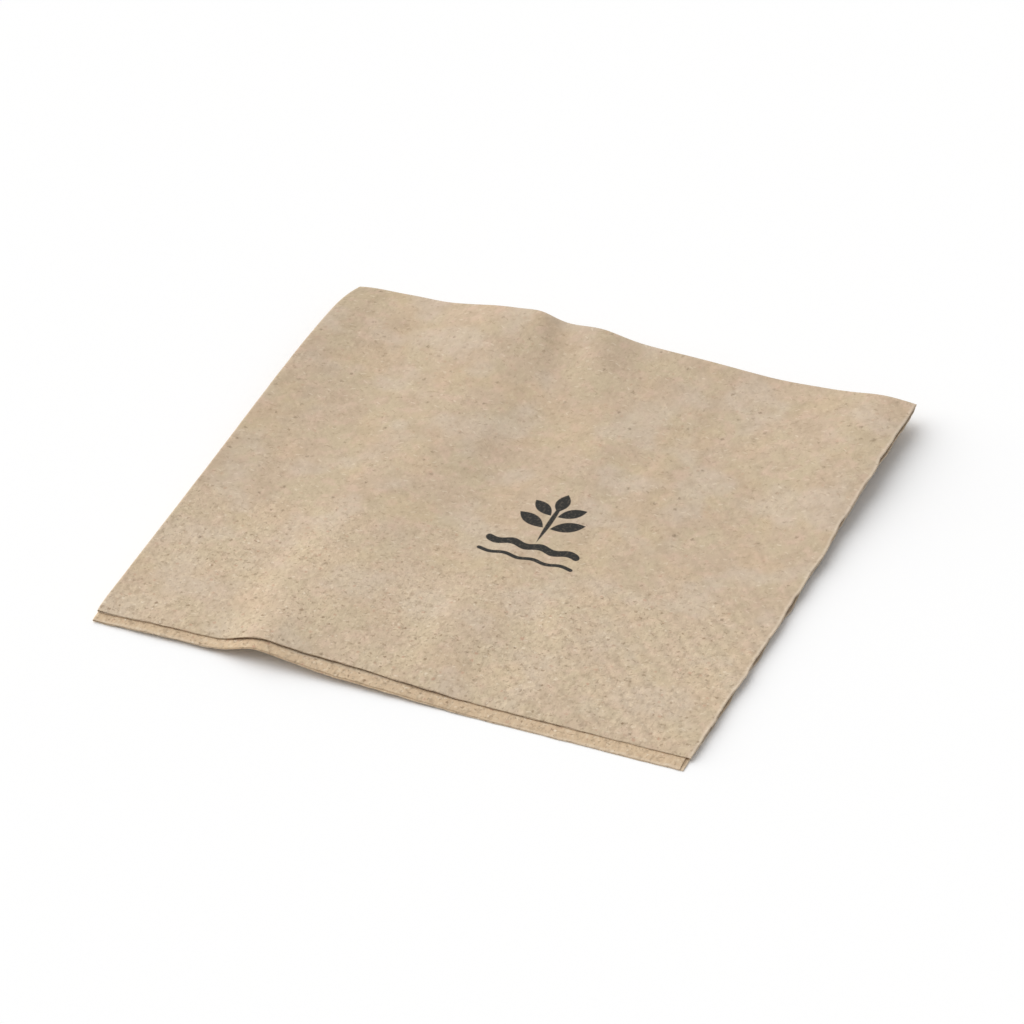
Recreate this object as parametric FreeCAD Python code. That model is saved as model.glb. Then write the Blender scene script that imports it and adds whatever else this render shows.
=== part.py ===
import FreeCAD, Part
import math
import os

# Paper napkin: a square sheet of two-ply kraft tissue, folded in half twice.
# Lengths are millimetres. X runs from the first fold (left) to the open side edges (right),
# Y from the open front edges to the second fold, the spine (back), and Z up from the table.
# Layers are counted from the top: 1 and 2 are the upper pair, 3 and 4 the lower pair.
# The first fold joins 1 to 2 and 3 to 4. The spine joins 1 to 4 outside and 2 to 3 inside it.

doc = FreeCAD.newDocument("paper_napkin")
table = doc.addObject("Spreadsheet::Sheet", "sizes")

sizes = {
    "sheet_width": 199.0,  # open sheet, across the first fold
    "sheet_depth": 201.4,  # open sheet, along the first fold
    "paper": 0.22,  # both plies together, embossed
    "pair_gap": 0.12,  # air inside each pair
    "spine_gap": 0.14,  # air between the pairs
    "first_fold_top": 99.7,  # fold to side edge, at the front of layer 1
    "first_fold_end": 99.4,  # fold to side edge, at the front of layer 4: the fold runs askew
    "second_fold": 99.0,  # spine to the front edge of the upper pair
    "ply_step": 0.3,  # how far the lower pair's two front edges part, away from the first fold
    "ply_step_reach": 20.0,
    "roll_bulge": 0.26,  # extra air inside a pair where it rolls round the first fold
    "roll_reach": 3.6,
    "spine_bulge": 0.35,  # extra air inside the spine
    "spine_bulge_reach": 7.0,
    "corner_round": 1.6,  # the doubly folded corner pulls in
    "corner_reach": 3.3,
    "corner_fade": 20.0,
    "fold_bow": 0.4,  # the first fold bows out midway
    "fold_bow_reach": 30.0,
    "contact_left": 44.0,  # the patch that lies flat on the table
    "contact_right": 82.0,
    "contact_front": 24.0,
    "contact_back": 62.0,
    "contact_blend": 18.0,
    "hump_place": 28.5,  # the hump in the front edge, and how it rises, falls and reaches back
    "hump_height": 1.9,
    "hump_rise": 5.5,
    "hump_fall": 18.0,
    "hump_reach": 34.0,
    "hump_gap": 0.35,  # how far the pairs part at the hump
    "front_lift": 0.6,  # the front left corner stands a little off the table
    "front_lift_flat": 30.0,
    "front_lift_fall": 35.0,
    "side_lift": 1.4,  # the side edges rise towards the back
    "side_lift_place": 84.0,
    "side_lift_width": 22.0,
    "side_lift_reach": 16.0,
    "ripple_reach": 24.0,  # how far the spine's ripples run forward
}

# Ripples of the spine: place along X, half width, how far the spine opens there,
# and how far the whole stack stands off the table
ripples = (
    (10.0, 8.0, 0.6, 0.2),
    (32.0, 10.0, 2.7, 0.3),
    (47.0, 9.0, 2.3, 0.3),
    (66.0, 14.0, 1.2, 0.3),
    (95.0, 10.0, 0.2, 1.9),
)

# Soft creases of the upper pair: place along X at the front, lean to the right per mm back,
# half width, height and reach back
creases = (
    (52.5, 0.0, 4.5, 0.3, 30.0),
    (70.0, 0.25, 6.0, 0.3, 36.0),
)

stations_across = 20  # along X in each layer
stations_along = 10  # along Y in each layer


def fill_table():
    rows = dict(sizes)
    for number, ripple in enumerate(ripples, 1):
        names = ("place", "half_width", "opening", "lift")
        rows.update(zip((f"ripple{number}_{name}" for name in names), ripple))
    for number, crease in enumerate(creases, 1):
        names = ("place", "lean", "half_width", "height", "reach")
        rows.update(zip((f"crease{number}_{name}" for name in names), crease))
    for row, (alias, value) in enumerate(rows.items(), 1):
        table.set(f"A{row}", alias)
        table.set(f"B{row}", str(value))
        table.setAlias(f"B{row}", alias)


def size(alias):
    return float(table.get(alias))


fill_table()
doc.recompute()

paper = size("paper")
fold_radius = (size("pair_gap") + paper) / 2  # middle of the paper round the first fold
spine_radius = fold_radius + (size("spine_gap") + paper) / 2  # middle of a pair round the spine
spine_level = spine_radius + fold_radius + paper / 2  # height of the spine's centre
depth = size("sheet_depth") - size("second_fold") - math.pi * spine_radius  # of the longer, lower pair
width = max(size("first_fold_top"), size("first_fold_end"))


def bump(distance, half_width):
    """A soft wave: 1 in the middle, under half at half_width, nothing from twice that on"""
    return max(1 - (distance / (2 * half_width)) ** 2, 0.0) ** 3


def fade(distance, reach):
    """1 at the start, about a third at reach, nothing from four times that on"""
    return max(1 - distance / (4 * reach), 0.0) ** 4


def blend(share):
    share = min(max(share, 0.0), 1.0)
    return share * share * (3 - 2 * share)


def off_table(x, y):
    """0 over the patch that touches the table, 1 well away from it"""
    beside = max(size("contact_left") - x, x - size("contact_right"), 0.0)
    before = max(size("contact_front") - y, y - size("contact_back"), 0.0)
    return blend(math.hypot(beside, before) / size("contact_blend"))


def hump(x, y):
    """The hump in the front edge: it rises steeply from the left and falls away slowly"""
    along = x - size("hump_place")
    half_width = size("hump_rise") if along < 0 else size("hump_fall")
    return bump(along, half_width) * bump(y, size("hump_reach"))


def ripple(kind, x, y):
    """Height of the spine's ripples: kind is opening, between the pairs, or lift, of the whole stack"""
    height = 0.0
    for number in range(1, len(ripples) + 1):
        across = bump(x - size(f"ripple{number}_place"), size(f"ripple{number}_half_width"))
        height += size(f"ripple{number}_{kind}") * across
    return height * bump(depth - y, size("ripple_reach"))


def stack_lift(x, y):
    """Height of the underside above the table"""
    corner = 1 - blend((x - size("front_lift_flat")) / size("front_lift_fall"))
    front = size("hump_height") * hump(x, y) + size("front_lift") * corner * bump(y, size("hump_reach"))
    side = size("side_lift") * bump(y - size("side_lift_place"), size("side_lift_width"))
    side *= bump(width - x, size("side_lift_reach"))
    return (front + side + ripple("lift", x, y)) * off_table(x, y)


def crease_height(x, y):
    height = 0.0
    for number in range(1, len(creases) + 1):
        centre = size(f"crease{number}_place") + size(f"crease{number}_lean") * y
        shape = bump(x - centre, size(f"crease{number}_half_width"))
        height += size(f"crease{number}_height") * shape * bump(y, size(f"crease{number}_reach"))
    return height


layers = {("outer", "upper"): 1, ("inner", "upper"): 2, ("inner", "lower"): 3, ("outer", "lower"): 4}


def roll(x):
    """Extra air inside a pair beside the first fold"""
    return size("roll_bulge") * fade(x, size("roll_reach"))


def opening(x, y):
    """Extra air between the pairs"""
    spine = size("spine_bulge") * fade(depth - y, size("spine_bulge_reach"))
    return spine + ripple("opening", x, y) + size("hump_gap") * hump(x, y) + crease_height(x, y)


def layer_lift(layer, x, y):
    """Height that a layer gains over the pressed flat stack"""
    lift = stack_lift(x, y)
    if layer <= 3:
        lift += roll(x)
    if layer <= 2:
        lift += opening(x, y)
    if layer == 1:
        lift += roll(x)
    return lift


def side_edge(leg, half):
    """Where a layer's side edge lies: the first fold shares out the sheet between its two halves"""
    outer = size("first_fold_top") if half == "upper" else size("first_fold_end")
    if leg == "outer":
        return outer
    return size("sheet_width") - outer - math.pi * fold_radius


def front_edge(leg, half, x):
    """Where a layer's front edge lies: the spine shares out the sheet between its two halves"""
    if half == "upper":
        return depth - size("second_fold")
    return size("ply_step") * (1 - fade(x, size("ply_step_reach"))) if leg == "inner" else 0.0


def rounded_plan(x, y):
    """Plan shift of the doubly folded corner and of the bowed first fold"""
    behind = depth - y
    pull = size("corner_round")
    right = pull * fade(behind, size("corner_reach")) * fade(x, size("corner_fade"))
    front = pull * fade(x, size("corner_reach")) * fade(behind, size("corner_fade"))
    bow = size("fold_bow") * math.sin(math.pi * y / depth) * fade(x, size("fold_bow_reach"))
    return x + right - bow, y - front


def station(count, index, inset, bevel, end):
    """Distance from a fold: its outermost line, where its bevel meets the layer, then even steps"""
    if index == 0:
        return inset
    start = inset + bevel
    return start + (end - start) * (index - 1) / (count - 2)


def pole(leg, across, half, along, face):
    """One control point. face is +1 on the side that the first fold turns outwards, else -1"""
    fold = fold_radius + face * paper / 2  # half the height of this side round the first fold
    bevel = fold / 2
    x = station(stations_across, across, paper / 2 - face * paper / 2, bevel, side_edge(leg, half))
    level = fold - bevel if across == 0 else fold
    if leg == "inner":
        level = -level
    spine = spine_radius + level + opening(x, depth) / 2  # half the height of this side round the spine
    if leg == "outer":
        spine += roll(x)
    bevel = spine / 2
    reach = depth - front_edge(leg, half, x)
    y = depth - station(stations_along, along, fold_radius + paper / 2 - level, bevel, reach)
    if along == 0:
        z = spine_level + opening(x, depth) / 2 + roll(x) + stack_lift(x, y)
        z += (spine - bevel) * (1 if half == "upper" else -1)
    else:
        z = spine_level + (spine_radius + level) * (1 if half == "upper" else -1)
        z += layer_lift(layers[leg, half], x, y)
    x, y = rounded_plan(x, y)
    return FreeCAD.Vector(x, y, z)


def net(face):
    """Rows from side edge round the first fold to side edge, each from front edge to front edge"""
    across = [("outer", n) for n in reversed(range(stations_across))]
    across += [("inner", n) for n in range(stations_across)]
    along = [("upper", n) for n in reversed(range(stations_along))]
    along += [("lower", n) for n in range(stations_along)]
    return [[pole(leg, a, half, b, face) for half, b in along] for leg, a in across]


def surface(poles):
    """A sheet ruled straight from each point of the net to the next"""
    counts = (len(poles), len(poles[0]))
    knots = [[float(n) for n in range(count)] for count in counts]
    repeats = [[2] + [1] * (count - 2) + [2] for count in counts]
    made = Part.BSplineSurface()
    made.buildFromPolesMultsKnots(poles, *repeats, *knots, False, False, 1, 1)
    return made


def runs(count, first, last):
    """Panel, bevel, facet, bevel, panel: the rows of each, and the knots that divide it into patches.
    Both panels are divided at the stations first and last."""
    return (
        (0, count - 1, (0, count - 1 - last, count - 1 - first, count - 2)),
        (count - 2, count, (0, 1)),
        (count - 1, count + 1, (0, 1)),
        (count, count + 2, (0, 1)),
        (count + 1, 2 * count, (0, first - 1, last - 1, count - 2)),
    )


def patches(poles, cuts_u, cuts_v):
    whole = surface(poles)
    made = []
    for low_u, high_u in zip(cuts_u, cuts_u[1:]):
        for low_v, high_v in zip(cuts_v, cuts_v[1:]):
            part = whole.copy()
            part.segment(low_u, high_u, low_v, high_v)
            made.append(part.toShape())
    return made


def inside_patch(count, bevel, end, low, high):
    """First and last station of layer 4 that lie on the table's patch"""
    places = [station(count, n, 0.0, bevel, end) for n in range(count)]
    found = [n for n, place in enumerate(places) if low <= place <= high]
    return found[0], found[-1]


def contact_stations():
    """First and last station of the patch on the table, across and along"""
    left, right = size("contact_left"), size("contact_right")
    back, front = depth - size("contact_back"), depth - size("contact_front")
    bevel = (fold_radius + paper / 2) / 2
    across = inside_patch(stations_across, bevel, side_edge("outer", "lower"), left, right)
    along = inside_patch(stations_along, spine_level / 2, depth, back, front)
    return across, along


def on_table(face):
    box = face.BoundBox
    return box.ZMax < paper / 100 and box.XLength > paper and box.YLength > paper


def folded_sheet():
    outside, inside = net(1), net(-1)
    across, along = contact_stations()
    runs_u = runs(stations_across, *across)
    runs_v = runs(stations_along, *along)
    faces = []
    for low_u, high_u, cuts_u in runs_u:
        for low_v, high_v, cuts_v in runs_v:
            for side in (outside, inside):
                faces += patches([row[low_v:high_v] for row in side[low_u:high_u]], cuts_u, cuts_v)
    for low, high, cuts in runs_v:
        for row in (0, -1):
            faces += patches([side[row][low:high] for side in (outside, inside)], (0, 1), cuts)
    for low, high, cuts in runs_u:
        for column in (0, -1):
            edges = [[row[column] for row in side[low:high]] for side in (outside, inside)]
            faces += patches(edges, (0, 1), cuts)
    faces = [Part.Face(Part.Wire(Part.__sortEdges__(f.Edges))) if on_table(f) else f for f in faces]
    shell = Part.Shell(faces)
    shell.sewShape()
    return Part.Solid(shell)


def check(shape, name):
    if shape.isNull() or not shape.isValid() or shape.Volume <= 0:
        raise RuntimeError(f"{name} is not a sound solid")


napkin = doc.addObject("Part::Feature", "napkin")
napkin.Label = "napkin"
napkin.Shape = folded_sheet()
box = napkin.Shape.BoundBox
centred = FreeCAD.Vector(-box.Center.x, -box.Center.y, -box.ZMin)
napkin.Placement = FreeCAD.Placement(centred, FreeCAD.Rotation())
doc.recompute()

for item in doc.Objects:
    if "Invalid" in item.State or "Error" in item.State:
        raise RuntimeError(f"{item.Label}: {item.State}")
check(napkin.Shape, napkin.Label)

os.makedirs("parts", exist_ok=True)
napkin.Shape.exportStep("parts/napkin.step")
box = napkin.Shape.BoundBox
print("box", [round(v, 3) for v in (box.XMin, box.YMin, box.ZMin, box.XMax, box.YMax, box.ZMax)])
print("volume", round(napkin.Shape.Volume, 1), "solids", len(napkin.Shape.Solids))
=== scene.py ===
import math

import bpy
import numpy as np
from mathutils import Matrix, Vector, noise


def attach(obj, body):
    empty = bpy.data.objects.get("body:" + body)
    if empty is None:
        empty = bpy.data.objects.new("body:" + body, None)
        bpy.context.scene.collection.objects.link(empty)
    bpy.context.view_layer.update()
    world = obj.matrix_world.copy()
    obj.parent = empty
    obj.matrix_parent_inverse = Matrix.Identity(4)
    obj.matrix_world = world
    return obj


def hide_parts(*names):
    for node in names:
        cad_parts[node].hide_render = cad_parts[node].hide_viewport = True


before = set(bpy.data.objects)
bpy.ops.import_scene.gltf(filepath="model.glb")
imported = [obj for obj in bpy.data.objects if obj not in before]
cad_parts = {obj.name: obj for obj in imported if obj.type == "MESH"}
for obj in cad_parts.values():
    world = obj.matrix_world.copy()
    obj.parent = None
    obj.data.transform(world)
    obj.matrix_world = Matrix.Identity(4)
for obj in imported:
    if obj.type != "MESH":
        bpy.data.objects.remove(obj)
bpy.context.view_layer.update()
print("frame loaded")

mm = 0.001


def linear(hexColour):
    # sRGB hex to the linear colour that a shader socket takes
    channels = [int(hexColour[i:i + 2], 16) / 255 for i in (1, 3, 5)]
    return [c / 12.92 if c <= 0.04045 else ((c + 0.055) / 1.055) ** 2.4 for c in channels] + [1.0]


def addNode(tree, kind, inputs=None, **settings):
    # adds one shader node: settings are its properties, and inputs are values or what feeds them,
    # a node (its first output) or a socket
    node = tree.nodes.new("ShaderNode" + kind)
    for name, value in settings.items():
        setattr(node, name, value)
    for socket, value in (inputs or {}).items():
        if isinstance(value, bpy.types.Node):
            value = value.outputs[0]
        if isinstance(value, bpy.types.NodeSocket):
            tree.links.new(value, node.inputs[socket])
        else:
            node.inputs[socket].default_value = value
    return node


# The sheet is folded in half twice, so it lies in four layers: an upper and a lower pair.
# Lengths are in mm. x runs from the first fold (left) to the open sides, y from the open front to the
# second fold, the spine, and z up from the table.

napkin = {
    "width": 199.0,  # open sheet, across and along the first fold
    "depth": 201.4,
    "paper": 0.22,
    "edgeThin": 0.75,  # share of the thickness that the front edges have lost
    "edgeThinReach": 1.3,
    "pairGap": 0.12,  # air inside a pair
    "spineGap": 0.14,  # air between the pairs
    "firstFoldTop": 99.7,  # fold to side edge, upper half
    "firstFoldEnd": 99.4,  # the same at the lower half's front
    "secondFold": 99.0,  # spine to the upper pair's front edge
    "secondSkew": 0.6,  # which comes further forward beside the first fold
    "secondSkewReach": 25.0,
    "openSkew": 0.35,  # and less far from here to the open sides
    "openSkewStart": 25.0,
    "openSkewReach": 40.0,
    "pairStepDip": 0.75,  # and hangs back here
    "dipPlace": 41.0,
    "dipReach": 9.0,
    "plyStep": 0.3,  # the lower pair's two front edges part by this, about here
    "plyStepPlace": 44.0,
    "plyStepReach": 22.0,
    "pinch": 0.8,  # share of the air that goes at the cut front edges
    "pinchReach": 7.0,
    "rollBulge": 0.26,  # extra air where a pair rolls round the first fold
    "rollReach": 3.6,
    "spineBulge": 0.35,  # extra air inside the spine
    "spineBulgeReach": 7.0,
    "spineDepth": 0.35,  # how far an opened spine bellies out, against its opening
    "cornerRound": 1.5,  # the doubly folded corner pulls in
    "cornerReach": 3.6,
    "cornerFade": 20.0,
    "foldBow": 0.4,  # the first fold bows out midway
    "foldBowReach": 30.0,
    "cornerFlare": 0.6,  # the front corner of the first fold sits further out
    "cornerFlareReach": 14.0,
    "edgeWander": 0.16,  # the cut edges are a little ragged
    "sideWanderSize": 2.2,
    "frontWanderSize": 2.0,
    "wanderFade": 12,  # power of the share of the panel: the higher, the closer to the edge
    "sideSway": 0.45,  # and the side edges sway
    "swaySize": 7.0,
    "swayFade": 4,
    "cockle": 0.05,  # soft unevenness of the tissue
    "cockleSizes": (9.0, 4.0),
    "bendSteps": 6,  # mesh rows round half a bend
    "panel": 100.0,  # rows of the mesh over a panel of this length
    "cell": 1.04,  # between its rows
    "nearFold": (0.25, 0.6, 1.1, 1.8),  # closer rows beside a fold
    "nearEdge": (0.9, 0.45, 0.15, 0.0),  # and beside a cut edge
    # the patch that lies flat on the table
    "contact": {"left": 44.0, "right": 82.0, "front": 24.0, "back": 62.0, "blend": 18.0},
    # waves of the whole stack: place, reach to the left, right, front and back, height
    "stackWaves": (
        dict(x=0.0, y=0, left=6.0, right=6.5, front=20, back=20, height=-0.5),
        dict(x=27.6, y=0, left=4.6, right=5.0, front=11, back=11, height=1.85),
        dict(x=34.5, y=0, left=4.5, right=7.0, front=6, back=6, height=0.88),
        dict(x=46.0, y=0, left=6.0, right=14.0, front=12, back=12, height=0.45),
        dict(x=99.0, y=86, left=15.0, right=9.0, front=25, back=40, height=2.5),
        dict(x=31.0, y=100, left=12.0, right=20.0, front=24, back=24, height=0.3),
    ),
    # waves of the upper pair alone, which part the pairs; lean is the drift to the right per mm back
    "openWaves": (
        dict(x=12.0, y=0, left=12.0, right=8.0, front=9, back=9, height=0.1),
        dict(x=24.3, y=0, left=2.4, right=8.0, front=9, back=10, height=0.22),
        dict(x=42.0, y=0, left=9.0, right=14.0, front=9, back=9, height=0.1),
        dict(x=25.8, y=20, left=4.0, right=30.0, front=11, back=20, height=1.15),
        dict(x=36.0, y=13, left=6.0, right=14.0, front=7, back=12, height=0.5),
        dict(x=28.0, y=64, left=10.0, right=9.0, front=36, back=50, height=0.85),
        dict(x=35.5, y=72, left=9.0, right=6.0, front=22, back=24, height=0.75),
        dict(x=52.6, y=22, left=2.6, right=9.0, front=15, back=9, height=0.75),
        dict(x=57.5, y=9, left=5.0, right=2.6, front=8, back=8, height=0.2),
        dict(x=71.0, y=8, left=4.5, right=9.0, front=5, back=6, height=0.35),
        dict(x=69.0, y=24, left=2.6, right=7.0, front=6, back=7, height=0.55, lean=-0.58),
        dict(x=55.5, y=66, left=5.5, right=8.0, front=14, back=16, height=0.65),
        dict(x=68.0, y=64, left=3.5, right=9.0, front=9, back=8, height=0.45),
        dict(x=1.0, y=80, left=3.0, right=8.5, front=30, back=26, height=1.15),
        dict(x=11.5, y=100, left=4.0, right=4.0, front=12, back=12, height=0.3),
        dict(x=30.5, y=100, left=12.0, right=9.0, front=12, back=14, height=2.6),
        dict(x=34.0, y=100, left=3.0, right=3.0, front=10, back=10, height=0.9, lean=-0.4),
        dict(x=44.3, y=100, left=5.5, right=5.0, front=11, back=14, height=1.8, lean=-0.3),
        dict(x=51.0, y=100, left=10.0, right=12.0, front=22, back=22, height=1.5),
        dict(x=66.0, y=100, left=10.0, right=12.0, front=22, back=22, height=1.1),
        dict(x=83.0, y=100, left=9.0, right=9.0, front=22, back=22, height=0.6),
        dict(x=94.0, y=100, left=5.0, right=5.0, front=16, back=16, height=0.7),
    ),
    # the front left corner stands a little off the table
    "frontLift": {"height": 0.55, "flat": 30.0, "fall": 35.0, "reach": 34.0},
}


def bell(distance, reach):
    # 1 in the middle, about a third at reach
    return np.exp(-((distance / reach) ** 2))


def blend(share):
    # smooth step from 0 to 1
    share = np.clip(share, 0.0, 1.0)
    return share * share * (3 - 2 * share)


def waves(rows, x, y):
    height = np.zeros_like(x)
    for row in rows:
        dy = y - row["y"]
        dx = x - row["x"] - row.get("lean", 0.0) * dy
        across = bell(dx, np.where(dx < 0, row["left"], row["right"]))
        height += row["height"] * across * bell(dy, np.where(dy < 0, row["front"], row["back"]))
    return height


def offTable(x, y):
    # 0 over the patch that lies on the table, 1 well away from it
    contact = napkin["contact"]
    beside = np.maximum(np.maximum(contact["left"] - x, x - contact["right"]), 0.0)
    before = np.maximum(np.maximum(contact["front"] - y, y - contact["back"]), 0.0)
    return blend(np.hypot(beside, before) / contact["blend"])


def noiseField(x, y, scale, seed):
    # soft unevenness between -1 and 1: the seed picks it, so it is the same each run
    flat = [noise.noise(Vector((a / scale, b / scale, seed))) for a, b in zip(x.ravel(), y.ravel())]
    return np.array(flat).reshape(x.shape)


foldRadius = (napkin["pairGap"] + napkin["paper"]) / 2  # middle of the paper round the first fold
spineRadius = foldRadius + (napkin["spineGap"] + napkin["paper"]) / 2  # middle of a pair round the spine
spineLevel = spineRadius + foldRadius + napkin["paper"] / 2
depth = napkin["depth"] - napkin["secondFold"] - math.pi * spineRadius  # of the longer, lower pair
bendRadius = foldRadius + napkin["rollBulge"] / 2
foldLine = napkin["paper"] / 2 + bendRadius  # where the first fold's bend ends
middleX = (napkin["firstFoldTop"] - napkin["foldBow"]) / 2
middleY = depth / 2


def stackLift(x, y):
    # height of the underside above the table
    front = napkin["frontLift"]
    corner = 1 - blend((x - front["flat"]) / front["fall"])
    lift = waves(napkin["stackWaves"], x, y) + front["height"] * corner * bell(y, front["reach"])
    broad, fine = napkin["cockleSizes"]
    cockle = napkin["cockle"] * (1 + noiseField(x, y, broad, 3.0) + 0.5 * noiseField(x, y, fine, 8.0))
    return lift * offTable(x, y) + cockle


def pairOpening(x, y):
    # extra air between the pairs
    spine = napkin["spineBulge"] * np.exp((y - depth) / napkin["spineBulgeReach"])
    return spine + waves(napkin["openWaves"], x, y)


def meshRows():
    # from a fold's outermost line: angles round the bend, then shares of the flat panel
    steps, length = napkin["bendSteps"], napkin["panel"]
    angles = [math.pi / 2 * n / steps for n in range(steps + 1)]
    start, end = napkin["nearFold"][-1], length - napkin["nearEdge"][0]
    count = round((end - start) / napkin["cell"])
    even = [start + (end - start) * n / count for n in range(1, count + 1)]
    panel = [*napkin["nearFold"], *even, *(length - inset for inset in napkin["nearEdge"][1:])]
    return np.array(angles + [math.pi / 2] * len(panel)), np.array([0.0] * len(angles) + panel) / length


def bothLegs(angles, shares):
    # one leg backwards to the fold, then the other away from it
    return np.concatenate((angles[::-1], -angles[1:])), np.concatenate((shares[::-1], shares[1:]))


def atFront(distance):
    # thickness of the paper and share of air left, by distance from a pair's front edge
    distance = np.maximum(distance, 0)
    thin = napkin["edgeThin"] * np.exp(-distance / napkin["edgeThinReach"])
    return napkin["paper"] * (1 - thin), 1 - napkin["pinch"] * np.exp(-distance / napkin["pinchReach"])


def frontStep(x):
    # how far the upper pair's front edge lies behind the lower pair's
    step = depth - napkin["secondFold"] - napkin["secondSkew"] * np.exp(-x / napkin["secondSkewReach"])
    step = step + napkin["openSkew"] * blend((x - napkin["openSkewStart"]) / napkin["openSkewReach"])
    return step + napkin["pairStepDip"] * bell(x - napkin["dipPlace"], napkin["dipReach"])


def wanderEdges(x, y, across, along, layer):
    # the cut edges wander, more so right at the edge, and each layer in its own way
    across, along = np.clip(across, 0, 1), np.clip(along, 0, 1)
    ragged = napkin["edgeWander"] * noiseField(y, layer, napkin["sideWanderSize"], 1.0)
    x = x + across ** napkin["wanderFade"] * ragged
    x = x + across ** napkin["swayFade"] * napkin["sideSway"] * noiseField(y, layer, napkin["swaySize"], 2.0)
    ragged = napkin["edgeWander"] * noiseField(x, layer, napkin["frontWanderSize"], 5.0)
    return x, y + along ** napkin["wanderFade"] * ragged


def roundCorner(x, y, spineCentre):
    # the doubly folded corner pulls in; each bend moves as one, so its layers keep their distance
    behind, beside = np.maximum(spineCentre - y, 0), np.maximum(x - foldLine, 0)
    reach, fade = napkin["cornerReach"], napkin["cornerFade"]
    right = napkin["cornerRound"] * np.exp(-behind / reach - beside / fade)
    front = napkin["cornerRound"] * np.exp(-beside / reach - behind / fade)
    bow = napkin["foldBow"] * np.sin(np.pi * y / depth)
    bow = bow + napkin["cornerFlare"] * np.exp(-y / napkin["cornerFlareReach"])
    return x + right - bow * np.exp(-x / napkin["foldBowReach"]), y - front


def foldedSheet():
    # the middle of the paper: its places, where they lie on the open sheet, and how full the paper is
    turn, share = bothLegs(*meshRows())
    phi, across = turn[:, None], share[:, None]  # round the first fold
    theta, along = turn[None, :], share[None, :]  # round the spine
    leg = np.sin(phi) + 0 * theta  # +1 on the outer leg, -1 on the inner
    half = np.sin(theta) + 0 * phi  # +1 on the upper half, -1 on the lower
    upper = (1 + half) / 2
    outerEnd = napkin["firstFoldEnd"] + (napkin["firstFoldTop"] - napkin["firstFoldEnd"]) * upper
    innerEnd = napkin["width"] - outerEnd - math.pi * bendRadius
    sideEnd = np.where(leg > 0, outerEnd, innerEnd)
    x = foldLine - bendRadius * np.cos(phi) + across * (sideEnd - foldLine)
    roll = napkin["rollBulge"] * np.exp(-x / napkin["rollReach"])
    belly = napkin["spineDepth"] * pairOpening(x, np.full_like(x, depth))
    spineCentre = depth - spineRadius - foldRadius - belly - roll
    spineReach = spineRadius + foldRadius * leg + belly + roll * (1 + leg) / 2
    plyStep = napkin["plyStep"] * bell(x - napkin["plyStepPlace"], napkin["plyStepReach"])
    pairStep = frontStep(x)
    frontEnd = np.where(half > 0, pairStep, np.where(leg < 0, plyStep, 0.0))
    y = spineCentre + spineReach * np.cos(theta) - along * (spineCentre - frontEnd)
    layer = np.where(leg > 0, 0.0, 3.0) + np.where(half > 0, 0.0, 7.0)
    x, y = wanderEdges(x, y, across, along, layer)
    # towards the front edges the paper thins and the air between the layers goes
    upperPaper, upperAir = atFront(y - pairStep)
    lowerPaper, lowerAir = atFront(y)
    paper, air = np.where(half > 0, upperPaper, lowerPaper), np.where(half > 0, upperAir, lowerAir)
    apart = napkin["spineGap"] * upperAir + pairOpening(x, y)
    z = stackLift(x, y) + 2 * lowerPaper + napkin["pairGap"] * lowerAir + apart / 2 + roll
    z = z + half * (apart / 2 + paper + napkin["pairGap"] * air / 2 + roll * (1 + leg) / 2)
    z = z + half * leg * (paper + napkin["pairGap"] * air) / 2
    x, y = roundCorner(x, y, spineCentre)
    places = np.stack((x - middleX, y - middleY, z), axis=2)
    # unfolded place on the sheet, 0 to 1 each way
    fromFold = np.where(leg > 0, -1, 1) * (bendRadius * abs(phi) + across * (sideEnd - foldLine))
    fromSpine = np.where(half > 0, 1, -1) * (spineRadius * abs(theta) + along * (spineCentre - frontEnd))
    u, v = 0.5 + fromFold / napkin["width"], 0.5 + fromSpine / napkin["depth"]
    return places, u, v, paper / napkin["paper"]


def makeSheet():
    places, u, v, full = foldedSheet()
    rows, columns = u.shape
    number = np.arange(rows * columns).reshape(rows, columns)
    corners = (number[:-1, :-1], number[1:, :-1], number[1:, 1:], number[:-1, 1:])
    faces = np.stack([corner.ravel() for corner in corners], axis=1)
    mesh = bpy.data.meshes.new("napkinSheet")
    mesh.from_pydata((places.reshape(-1, 3) * mm).tolist(), [], faces.tolist())
    layer = mesh.uv_layers.new(name="sheetMap")
    flat = np.stack((u.ravel(), v.ravel()), axis=1)[faces.ravel()]
    layer.data.foreach_set("uv", flat.ravel().astype(np.float32))
    mesh.polygons.foreach_set("use_smooth", [True] * len(mesh.polygons))
    mid = bpy.data.objects.new("midSheet", mesh)
    bpy.context.collection.objects.link(mid)
    fullness = mid.vertex_groups.new(name="fullness")
    level = np.round(full.ravel(), 2)
    for share in np.unique(level):
        fullness.add(np.flatnonzero(level == share).tolist(), float(share), "REPLACE")
    wall = mid.modifiers.new("paper", "SOLIDIFY")
    wall.thickness = napkin["paper"] * mm
    wall.offset = 0.0
    wall.vertex_group = "fullness"
    bpy.context.view_layer.update()
    graph = bpy.context.evaluated_depsgraph_get()
    solid = bpy.data.meshes.new_from_object(mid.evaluated_get(graph))
    bpy.data.objects.remove(mid)
    solid.name = "foldedNapkin"
    piece = bpy.data.objects.new("foldedNapkin", solid)
    bpy.context.collection.objects.link(piece)
    return piece


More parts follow.
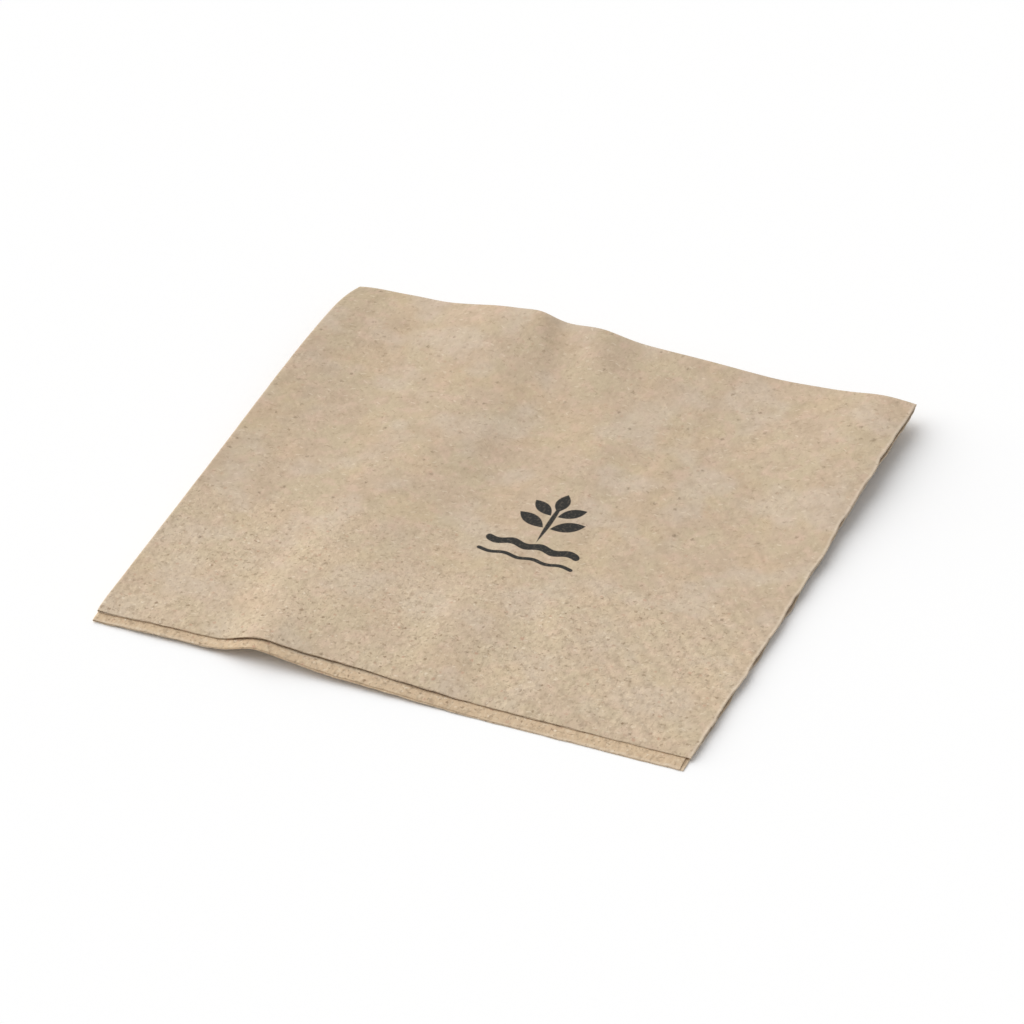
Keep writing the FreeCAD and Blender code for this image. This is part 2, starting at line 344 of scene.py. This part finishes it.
# kraft tissue; a scale counts the pattern's waves per mm, so 0.13 makes patches about 8 mm across
tissue = {
    "base": "#C3AD95",
    "green": "#C3B295",
    "pink": "#D3B6A2",
    "warm": "#D3B58C",
    "cool": "#CCBCAB",
    # pale tone: the pale flecks, and the painted light laid over the front
    "light": "#E3CFB2",
    "dark": "#A8937A",
    "speck": "#77634F",
    "fibre": "#957D63",
    "bark": "#8A6F57",
    "rust": "#C0967F",
    "bright": "#E9DAC3",
    "ink": "#2E2E2C",
    "edge": "#EBDCC7",  # the cut edge: loose pale fibres, and a painted highlight that lifts the shaded rims
    "edgeWidth": 0.45,
    "edgeStrength": (0.35, 0.25),  # at the sides, at the front
    "border": "#D4B998",  # strip beside one cut edge, which shows warmer
    "borderWidth": 3.2,
    "borderSoft": 0.6,
    "borderStrength": 0.75,
    "borderGrain": 0.35,  # and coarser
    # painted light: how much paler the front is laid than the spine side
    "paintedLightStrength": 0.32,
    "calmest": 0.42,  # strength of the grain towards the spine and by the front edges
    "liveliest": 1.0,
    "livelyFrom": 50.0,  # distances from the spine between which it grows
    "livelyTo": 75.0,
    "grainStretch": 0.7,  # the grain is longer along the first fold
    "roughness": 0.92,
    "specular": 0.25,
    # embossing: mm between the bosses, on the diagonal
    "embossFine": 1.27,
    "embossWide": 2.7,
    "fineWobble": 0.9,
    "wideWobble": 1.6,
    "wideAtEdge": 1.3,  # strength of the wide one at one side edge, and from this far in
    "wideInside": 0.3,
    "wideFade": 60.0,
    "crepe": 2.1,  # strength of the crepe against the embossing
    "crepeScale": 1.5,  # its ridges lie 0.3 to 0.5 mm apart, and are drawn coarser here so that they show
    "fibreRelief": 0.3,
    "embossHeight": 0.05,
    # soft patches: shade, scale, detail, where the cloud is cut, strength, and its place
    "patches": (
        ("green", dict(scale=0.13, detail=3, low=0.38, high=0.66, most=0.8)),
        ("pink", dict(scale=0.38, detail=2, low=0.5, high=0.7, most=0.5, place=(70, 31))),
        ("warm", dict(scale=0.11, detail=2, low=0.48, high=0.68, most=0.18, place=(9, 66))),
        ("cool", dict(scale=0.09, detail=2, low=0.48, high=0.68, most=0.55, place=(23, 6))),
        ("dark", dict(scale=0.3, detail=3, low=0.45, high=0.72, most=0.3, place=(51, 29))),
    ),
    # smudges, pale flecks and dots of the grain
    "grainMarks": (
        ("dark", dict(scale=1.0, detail=3, roughness=0.6, low=0.48, high=0.72, most=0.42, place=(5, 90))),
        ("light", dict(scale=1.2, detail=3, roughness=0.6, low=0.5, high=0.72, most=0.45, place=(44, 8))),
        ("speck", dict(scale=2.1, detail=2, low=0.6, high=0.8, most=0.35, place=(81, 17))),
    ),
    # fibres, one to a cell of this width in mm, and their strength
    "longFibres": dict(cell=3.4, halfLength=0.9, halfWidth=0.14, place=0.0),
    "shortFibres": dict(cell=1.9, halfLength=0.45, halfWidth=0.16, place=41.0),
    "paleFibres": dict(cell=2.3, halfLength=0.5, halfWidth=0.18, place=19.0),
    "longStrength": 0.25,
    "shortStrength": 0.2,  # everywhere, and this much more where the grain is lively
    "shortLively": 0.25,
    "paleStrength": 0.4,
    "fibreBend": (0.8, 1.0, 0.5),  # scale, detail and reach in mm of the bends
    # chips of dark speck, bright fibre, old print and bark; largest is a share of the cell
    "chipBend": (2.4, 2.0, 0.7),
    "specks": dict(cell=3.0, largest=0.07, place=0.0),
    "chipKinds": (
        ("bright", dict(cell=1.1, largest=0.17, place=71.0)),
        ("rust", dict(cell=1.7, largest=0.14, place=12.0)),
        ("bark", dict(cell=1.25, largest=0.17, place=33.0)),
    ),
    # clouds that make the grain, the two embossings and the ink uneven
    "livelyCloud": dict(scale=0.1, detail=2, low=0.35, high=0.65, least=-0.25, most=0.25, place=(13, 57)),
    "fineCloud": dict(scale=0.12, detail=1, low=0.3, high=0.7, least=0.05, most=0.25),
    "wideCloud": dict(scale=0.09, detail=1, low=0.3, high=0.7, least=0.7, most=1.3),
    "inkCloud": dict(scale=2.2, detail=2, low=0.25, high=0.5, least=0.9, most=0.99),
}

# printed sprig over two wavy bars
mark = {
    "place": (56.3, 52.3),
    "leaves": (  # centre x and y, direction in degrees, half length, half width
        (0.0, -0.6, 90, 6.2, 0.42),
        (0.0, 4.2, 90, 2.4, 1.15),
        (-2.5, 2.2, 140, 2.5, 1.1),
        (2.5, 2.2, 40, 2.5, 1.1),
        (-3.1, -1.3, 150, 2.9, 1.25),
        (3.1, -1.3, 30, 2.9, 1.25),
    ),
    "bars": (  # y, half length, half width, swing, length of a wave
        (-8.2, 7.2, 0.85, 0.35, 4.8),
        (-11.6, 7.8, 0.42, 0.25, 4.8),
    ),
    "softness": 0.1,
}


def cloudMask(tree, source, scale, detail, low, high, most, least=0.0, place=(0, 0), roughness=0.5):
    # a soft cloud, least where it is under low and most where it is over high
    moved = addNode(tree, "Mapping", {"Vector": source, "Location": (*place, 0)})
    inputs = {"Vector": moved, "Scale": scale, "Detail": detail, "Roughness": roughness}
    cloud = addNode(tree, "TexNoise", inputs, noise_dimensions="2D")
    limits = {"Value": cloud, 1: low, 2: high, 3: least, 4: most}
    return addNode(tree, "MapRange", limits, interpolation_type="SMOOTHSTEP")


def laidOver(tree, colour, mask, strength, shade):
    # one more shade over what is there, by a mask and its strength
    factor = addNode(tree, "Math", {0: mask, 1: strength}, operation="MULTIPLY")
    inputs = {0: factor, 6: colour, 7: linear(tissue[shade])}
    return addNode(tree, "Mix", inputs, data_type="RGBA").outputs[2]


def swayed(tree, source, scale, detail, reach):
    # the same coordinates, bent softly, so that what is drawn on them isn't straight or round
    inputs = {"Vector": source, "Scale": scale, "Detail": detail}
    sway = addNode(tree, "TexNoise", inputs, noise_dimensions="2D")
    inputs = {0: sway.outputs["Color"], 1: (reach, reach, 0), 2: source}
    return addNode(tree, "VectorMath", inputs, operation="MULTIPLY_ADD")


def fibreMask(tree, source, cell, halfLength, halfWidth, place):
    # a bent fibre in most cells, within 45 degrees or so of the line across the sheet
    moved = addNode(tree, "Mapping", {"Vector": source, "Location": (place, place * 0.7, 0)})
    bent = swayed(tree, moved, *tissue["fibreBend"])
    cells = addNode(tree, "TexVoronoi", {"Vector": bent, "Scale": 1 / cell}, voronoi_dimensions="2D")
    offCentre = addNode(tree, "VectorMath", {0: bent, 1: cells.outputs["Position"]}, operation="SUBTRACT")
    chance = addNode(tree, "SeparateColor", {0: cells.outputs["Color"]})
    angle = addNode(tree, "Math", {0: chance, 1: 1.6, 2: -0.8}, operation="MULTIPLY_ADD")
    turned = addNode(tree, "VectorRotate", {"Vector": offCentre, "Angle": angle}, rotation_type="Z_AXIS")
    off = addNode(tree, "SeparateXYZ", {0: turned})
    limits = {"Value": chance.outputs[1], 1: 0.35, 2: 0.95}
    mask = addNode(tree, "MapRange", limits, interpolation_type="SMOOTHSTEP")
    for side, solid, end in ((0, halfLength * 0.5, halfLength), (1, halfWidth * 0.3, halfWidth)):
        distance = addNode(tree, "Math", {0: off.outputs[side]}, operation="ABSOLUTE")
        limits = {"Value": distance, 1: solid, 2: end, 3: 1.0, 4: 0.0}
        inside = addNode(tree, "MapRange", limits, interpolation_type="SMOOTHSTEP")
        mask = addNode(tree, "Math", {0: mask, 1: inside}, operation="MULTIPLY")
    return mask


def chipMask(tree, source, cell, largest, place):
    # chips with bent outlines, uneven in size and strength; many cells have none
    moved = addNode(tree, "Mapping", {"Vector": source, "Location": (place, place, 0)})
    bent = swayed(tree, moved, *tissue["chipBend"])
    cells = addNode(tree, "TexVoronoi", {"Vector": bent, "Scale": 1 / cell}, voronoi_dimensions="2D")
    chance = addNode(tree, "SeparateColor", {0: cells.outputs["Color"]})
    limits = {"Value": chance, 1: 0.3, 2: 1.0, 4: largest}
    size = addNode(tree, "MapRange", limits, interpolation_type="SMOOTHSTEP")
    inside = addNode(tree, "Math", {0: size, 1: cells.outputs["Distance"]}, operation="SUBTRACT")
    there = addNode(tree, "MapRange", {"Value": inside, 1: -0.1, 2: 0.06}, interpolation_type="SMOOTHSTEP")
    limits = {"Value": chance.outputs[1], 1: 0.3, 2: 1.0, 3: 0.05, 4: 0.6}
    strength = addNode(tree, "MapRange", limits, interpolation_type="SMOOTHSTEP")
    return addNode(tree, "Math", {0: there, 1: strength}, operation="MULTIPLY")


def bosses(tree, source, period, wobble):
    # diagonal lattice of small bosses, stronger in one direction
    bent = swayed(tree, source, 0.6 / period, 1.0, wobble)
    turn, scale = (0, 0, math.radians(45)), (2 * math.pi / period,) * 3
    turned = addNode(tree, "Mapping", {"Vector": bent, "Rotation": turn, "Scale": scale})
    place = addNode(tree, "SeparateXYZ", {0: turned})
    weak, strong = (addNode(tree, "Math", {0: place.outputs[n]}, operation="SINE") for n in (0, 1))
    return addNode(tree, "Math", {0: weak, 1: 0.35, 2: strong}, operation="MULTIPLY_ADD")


def leafDepth(tree, source, x, y, degrees, halfLength, halfWidth):
    # how far a point lies inside a leaf, less than 0 outside
    inputs = {"Vector": source, "Location": (x, y, 0), "Rotation": (0, 0, math.radians(degrees))}
    own = addNode(tree, "SeparateXYZ", {0: addNode(tree, "Mapping", inputs, vector_type="TEXTURE")})
    along = addNode(tree, "Math", {0: own.outputs[0], 1: halfLength}, operation="DIVIDE")
    squared = addNode(tree, "Math", {0: along, 1: along}, operation="MULTIPLY")
    half = addNode(tree, "Math", {0: squared, 1: -halfWidth, 2: halfWidth}, operation="MULTIPLY_ADD")
    off = addNode(tree, "Math", {0: own.outputs[1]}, operation="ABSOLUTE")
    return addNode(tree, "Math", {0: half, 1: off}, operation="SUBTRACT")


def barDepth(tree, source, y, halfLength, halfWidth, swing, wave):
    # the same for a wavy bar with round ends
    place = addNode(tree, "SeparateXYZ", {0: source})
    phase = addNode(tree, "Math", {0: place.outputs[0], 1: 2 * math.pi / wave}, operation="MULTIPLY")
    swung = addNode(tree, "Math", {0: phase}, operation="SINE")
    middle = addNode(tree, "Math", {0: swung, 1: swing, 2: y}, operation="MULTIPLY_ADD")
    off = addNode(tree, "Math", {0: place.outputs[1], 1: middle}, operation="SUBTRACT")
    length = addNode(tree, "Math", {0: place.outputs[0]}, operation="ABSOLUTE")
    beyond = addNode(tree, "Math", {0: length, 1: halfLength}, operation="SUBTRACT")
    past = addNode(tree, "Math", {0: beyond, 1: 0.0}, operation="MAXIMUM")
    corner = addNode(tree, "CombineXYZ", {0: off, 1: past})
    distance = addNode(tree, "VectorMath", {0: corner}, operation="LENGTH").outputs["Value"]
    return addNode(tree, "Math", {0: halfWidth, 1: distance}, operation="SUBTRACT")


def printMask(tree, source):
    # the mark is set out from its own centre, seen from above the folded napkin
    across = bendRadius * math.pi / 2 + mark["place"][0] - foldLine
    away = spineRadius * math.pi / 2 + depth - spineLevel - mark["place"][1]
    centre = (napkin["width"] / 2 - across, napkin["depth"] / 2 + away, 0.0)
    own = addNode(tree, "VectorMath", {0: centre, 1: source}, operation="SUBTRACT")
    inside = -1.0
    shapes = [leafDepth(tree, own, *row) for row in mark["leaves"]]
    for shape in shapes + [barDepth(tree, own, *row) for row in mark["bars"]]:
        inside = addNode(tree, "Math", {0: inside, 1: shape}, operation="MAXIMUM")
    limits = {"Value": inside, 1: -mark["softness"], 2: mark["softness"]}
    return addNode(tree, "MapRange", limits, interpolation_type="SMOOTHSTEP")


def tissueMaterial():
    # unbleached kraft tissue, creped and embossed: it looks dull and mottled, with fibres and chips in it
    material = bpy.data.materials.new("kraftTissue")
    material.use_nodes = True
    tree = material.node_tree
    tree.nodes.clear()
    openSize = (napkin["width"], napkin["depth"], 1.0)
    sheetMap = addNode(tree, "UVMap", uv_map="sheetMap")
    inMm = addNode(tree, "Mapping", {"Vector": sheetMap, "Scale": openSize})
    grain = addNode(tree, "Mapping", {"Vector": inMm, "Scale": (1.0, tissue["grainStretch"], 1.0)})
    onSheet = addNode(tree, "SeparateXYZ", {0: inMm})

    # how lively the grain is: calm towards the spine, lively towards the front edges, unevenly so; the same
    # mask sets the painted light that makes the front paler
    offSpine = addNode(tree, "Math", {0: onSheet.outputs[1], 1: napkin["depth"] / 2}, operation="SUBTRACT")
    fromSpine = addNode(tree, "Math", {0: offSpine}, operation="ABSOLUTE")
    limits = {"Value": fromSpine, 1: tissue["livelyFrom"], 2: tissue["livelyTo"]}
    rise = addNode(tree, "MapRange", limits, interpolation_type="SMOOTHSTEP")
    uneven = cloudMask(tree, inMm, **tissue["livelyCloud"])
    livelyAndPaintedLight = addNode(tree, "Math", {0: rise, 1: uneven}, operation="ADD")
    span = tissue["liveliest"] - tissue["calmest"]
    livelyAndPaintedLight = addNode(tree, "Math", {0: livelyAndPaintedLight, 1: span}, operation="MULTIPLY", use_clamp=True)
    livelyAndPaintedLight = addNode(tree, "Math", {0: livelyAndPaintedLight, 1: tissue["calmest"]}, operation="ADD")

    # mottling; then paler where the grain is lively, towards the open front edges: painted light, the front
    # lit brighter and the spine side darker, which also balances the darker grain there
    colour = linear(tissue["base"])
    for shade, cloud in tissue["patches"]:
        colour = laidOver(tree, colour, cloudMask(tree, inMm, **cloud), 1.0, shade)
    colour = laidOver(tree, colour, livelyAndPaintedLight, tissue["paintedLightStrength"], "light")

    # a warm, rougher strip beside one cut edge
    inner = tissue["borderWidth"] - tissue["borderSoft"]
    limits = {"Value": onSheet.outputs[1], 1: inner, 2: tissue["borderWidth"], 3: 1.0, 4: 0.0}
    strip = addNode(tree, "MapRange", limits, interpolation_type="SMOOTHSTEP")
    colour = laidOver(tree, colour, strip, tissue["borderStrength"], "border")
    inputs = {0: strip, 1: tissue["borderGrain"], 2: livelyAndPaintedLight}
    livelyAndPaintedLight = addNode(tree, "Math", inputs, operation="MULTIPLY_ADD")
    for shade, cloud in tissue["grainMarks"]:
        colour = laidOver(tree, colour, cloudMask(tree, grain, **cloud), livelyAndPaintedLight, shade)

    # pale colour along the cut edges, most of it at the sides: partly loose pale fibres, partly a painted
    # highlight on the top edges that also lifts the shaded rims
    for place, side, strength in zip(onSheet.outputs, openSize, tissue["edgeStrength"]):
        offMiddle = addNode(tree, "Math", {0: place, 1: side / 2}, operation="SUBTRACT")
        distance = addNode(tree, "Math", {0: offMiddle}, operation="ABSOLUTE")
        limits = {"Value": distance, 1: side / 2 - tissue["edgeWidth"], 2: side / 2}
        frayAndHighlight = addNode(tree, "MapRange", limits, interpolation_type="SMOOTHSTEP")
        colour = laidOver(tree, colour, frayAndHighlight, strength, "edge")

    # fibres and chips
    longMask = fibreMask(tree, inMm, **tissue["longFibres"])
    shortMask = fibreMask(tree, inMm, **tissue["shortFibres"])
    paleMask = fibreMask(tree, inMm, **tissue["paleFibres"])
    inputs = {0: livelyAndPaintedLight, 1: tissue["shortLively"], 2: tissue["shortStrength"]}
    shortStrength = addNode(tree, "Math", inputs, operation="MULTIPLY_ADD")
    colour = laidOver(tree, colour, longMask, tissue["longStrength"], "fibre")
    colour = laidOver(tree, colour, shortMask, shortStrength, "fibre")
    colour = laidOver(tree, colour, paleMask, tissue["paleStrength"], "bright")
    colour = laidOver(tree, colour, chipMask(tree, inMm, **tissue["specks"]), 1.0, "speck")
    for shade, chip in tissue["chipKinds"]:
        colour = laidOver(tree, colour, chipMask(tree, inMm, **chip), livelyAndPaintedLight, shade)

    # relief: two embossings, uneven in strength, the crepe and the long fibres
    fine = bosses(tree, inMm, tissue["embossFine"], tissue["fineWobble"])
    fineStrength = cloudMask(tree, inMm, **tissue["fineCloud"])
    wide = bosses(tree, inMm, tissue["embossWide"], tissue["wideWobble"])
    limits = {"Value": onSheet, 2: tissue["wideFade"], 3: tissue["wideAtEdge"], 4: tissue["wideInside"]}
    wideStrength = addNode(tree, "MapRange", limits, interpolation_type="SMOOTHSTEP")
    uneven = cloudMask(tree, inMm, **tissue["wideCloud"])
    for factor in (livelyAndPaintedLight, uneven):
        wideStrength = addNode(tree, "Math", {0: wideStrength, 1: factor}, operation="MULTIPLY")
    inputs = {"Vector": grain, "Scale": tissue["crepeScale"], "Detail": 3.0, "Roughness": 0.6}
    crepe = addNode(tree, "TexNoise", inputs, noise_dimensions="2D")
    crepeStrength = addNode(tree, "Math", {0: livelyAndPaintedLight, 1: tissue["crepe"]}, operation="MULTIPLY")
    reliefs = [(fine, fineStrength), (wide, wideStrength), (crepe, crepeStrength)]
    height = 0.0
    for relief, strength in reliefs + [(longMask, tissue["fibreRelief"])]:
        height = addNode(tree, "Math", {0: relief, 1: strength, 2: height}, operation="MULTIPLY_ADD")
    inputs = {"Height": height, "Distance": tissue["embossHeight"] * mm, "Strength": 1.0}
    bump = addNode(tree, "Bump", inputs)

    inkStrength = cloudMask(tree, inMm, **tissue["inkCloud"])
    colour = laidOver(tree, colour, printMask(tree, inMm), inkStrength, "ink")
    inputs = {"Base Color": colour, "Normal": bump}
    inputs.update({"Roughness": tissue["roughness"], "Specular IOR Level": tissue["specular"]})
    addNode(tree, "OutputMaterial", {"Surface": addNode(tree, "BsdfPrincipled", inputs)})
    return material


napkinPiece = makeSheet()
napkinPiece.data.materials.append(tissueMaterial())
print("sheet folded:", len(napkinPiece.data.polygons), "faces")

# floor, light and camera: lengths in metres, angles in degrees
studio = {
    "floor": "#FFFFFF",
    "floorSize": 3.0,
    "floorDrop": 0.00002,  # keeps the floor clear of the paper that lies on it
    "lampFrom": (-1.0, 0.2, 1.0),  # towards the lamp
    "lampStrength": 2.5,
    "lampAngle": 90.0,  # a wide disc, so the shade is soft
    "lampColour": "#FFFEFD",
    "sky": 0.45,
    "skyColour": "#FDFEFF",
    "azimuth": 22.822,
    "elevation": 35.501,
    "distance": 1.27998,
    "target": (-0.000982, 0.002251, 0.0),
    "lens": 281.25,  # mm, on a sensor of this width
    "sensor": 36.0,
    "viewReach": 20.0,
}


def makeFloor():
    side = studio["floorSize"] / 2
    mesh = bpy.data.meshes.new("floor")
    corners = [(-side, -side), (side, -side), (side, side), (-side, side)]
    mesh.from_pydata([(x, y, -studio["floorDrop"]) for x, y in corners], [], [(0, 1, 2, 3)])
    floor = bpy.data.objects.new("floor", mesh)
    bpy.context.collection.objects.link(floor)
    material = bpy.data.materials.new("paintedBoard")  # matte white board
    material.use_nodes = True
    shader = material.node_tree.nodes["Principled BSDF"]
    shader.inputs["Base Color"].default_value = linear(studio["floor"])
    shader.inputs["Roughness"].default_value = 1.0
    shader.inputs["Specular IOR Level"].default_value = 0.0
    mesh.materials.append(material)


def makeLight():
    lamp = bpy.data.lights.new("softKey", "SUN")
    lamp.energy = studio["lampStrength"]
    lamp.color = linear(studio["lampColour"])[:3]
    lamp.angle = math.radians(studio["lampAngle"])
    holder = bpy.data.objects.new("softKey", lamp)
    holder.rotation_euler = Vector(studio["lampFrom"]).to_track_quat("Z", "Y").to_euler()
    bpy.context.collection.objects.link(holder)
    world = bpy.data.worlds.new("studioSky")
    bpy.context.scene.world = world
    world.use_nodes = True
    sky = world.node_tree.nodes["Background"]
    sky.inputs["Color"].default_value = linear(studio["skyColour"])
    sky.inputs["Strength"].default_value = studio["sky"]


def makeCamera():
    turn, rise = math.radians(studio["azimuth"]), math.radians(studio["elevation"])
    back = Vector((math.sin(turn) * math.cos(rise), -math.cos(turn) * math.cos(rise), math.sin(rise)))
    lens = bpy.data.cameras.new("viewer")
    lens.lens = studio["lens"]
    lens.sensor_width = studio["sensor"]
    lens.clip_end = studio["viewReach"]
    viewer = bpy.data.objects.new("viewer", lens)
    viewer.location = Vector(studio["target"]) + back * studio["distance"]
    viewer.rotation_euler = back.to_track_quat("Z", "Y").to_euler()
    bpy.context.collection.objects.link(viewer)
    bpy.context.scene.camera = viewer


makeFloor()
makeLight()
makeCamera()
bpy.context.scene.view_settings.view_transform = "Standard"
print("studio set")

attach(napkinPiece, "root")
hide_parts("napkin")
